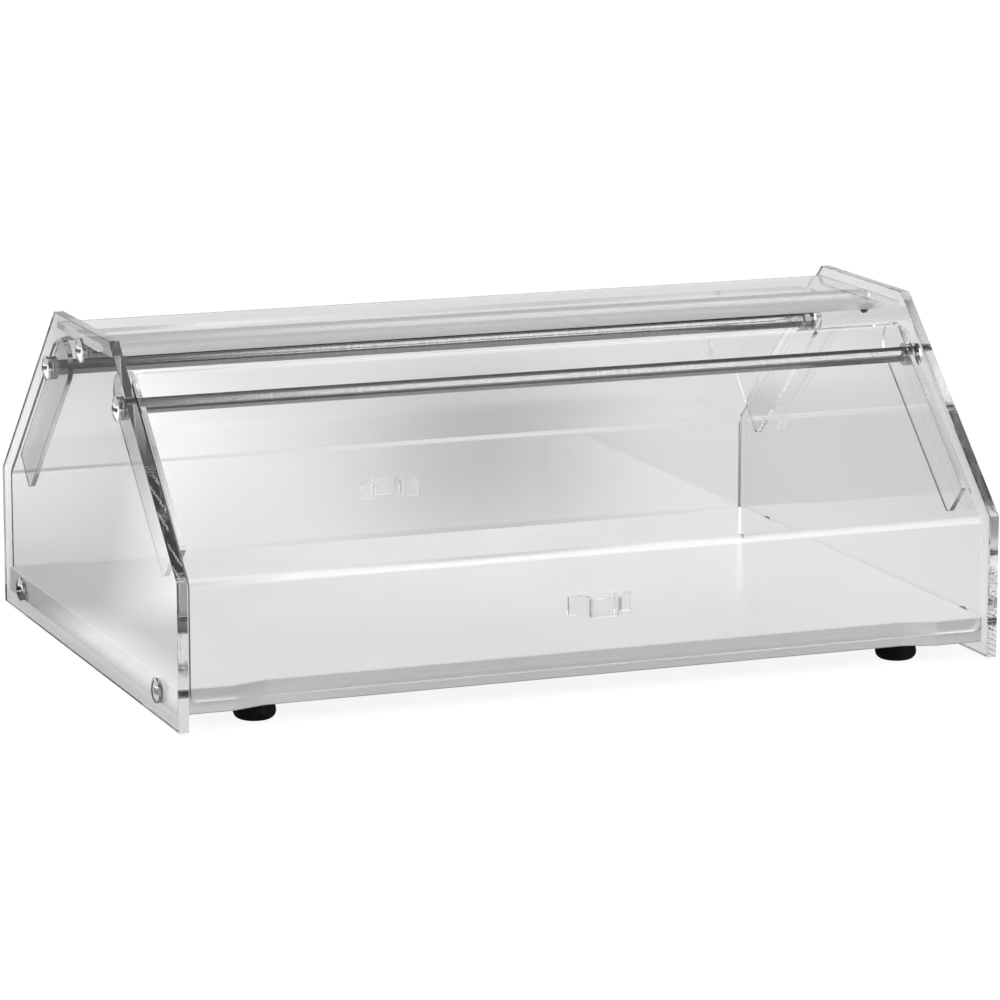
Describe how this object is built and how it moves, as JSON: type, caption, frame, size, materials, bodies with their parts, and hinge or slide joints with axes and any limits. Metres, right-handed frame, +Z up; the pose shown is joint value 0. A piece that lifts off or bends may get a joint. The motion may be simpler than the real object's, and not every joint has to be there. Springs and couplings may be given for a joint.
{
  "type": "bread display bin",
  "caption": "Clear countertop bread bin with sloping lift-up doors front and rear, held by steel rods on a white base board with rubber feet.",
  "frame": {"origin": "centre of the footprint, on the surface that the rubber feet stand on", "axes": "+X along the bin's length, to the right seen from the front; -Y towards the front door; +Z up"},
  "size_m": [0.6682, 0.494, 0.2645],
  "materials": {
    "clear_acrylic": "clear cast sheet, polished",
    "white_board": "smooth white polyethylene board",
    "steel_rod": "satin turned bar",
    "bright_screw": "bright nickel-plated",
    "brass": "machined",
    "zinc_steel": "zinc-plated",
    "black_rubber": "matt black"
  },
  "bodies": {
    "case": {"side_panel_left": "clear_acrylic", "side_panel_right": "clear_acrylic", "top_plate": "clear_acrylic", "base_board": "white_board", "ridge_rod": "steel_rod", "front_hinge_rod": "steel_rod", "rear_hinge_rod": "steel_rod", "rod_screws": "bright_screw", "base_screws": "bright_screw", "base_inserts": "brass", "hinge_spacers": "zinc_steel", "rubber_feet": "black_rubber", "foot_washers": "zinc_steel", "foot_screws": "zinc_steel"},
    "front_door": {"front_door_sheet": "clear_acrylic", "front_door_arm_left": "clear_acrylic", "front_door_arm_right": "clear_acrylic", "front_door_grip": "clear_acrylic"},
    "rear_door": {"rear_door_sheet": "clear_acrylic", "rear_door_arm_left": "clear_acrylic", "rear_door_arm_right": "clear_acrylic", "rear_door_grip": "clear_acrylic"}
  },
  "joints": [
    {"name": "front_door_hinge", "type": "hinge", "parent": "case", "child": "front_door", "pos_m": [0, -0.09462, 0.21705], "axis": [-1, 0, 0], "range_deg": [0, 143.5]},
    {"name": "rear_door_hinge", "type": "hinge", "parent": "case", "child": "rear_door", "pos_m": [0, 0.09462, 0.21705], "axis": [1, 0, 0], "range_deg": [0, 143.5]}
  ]
}
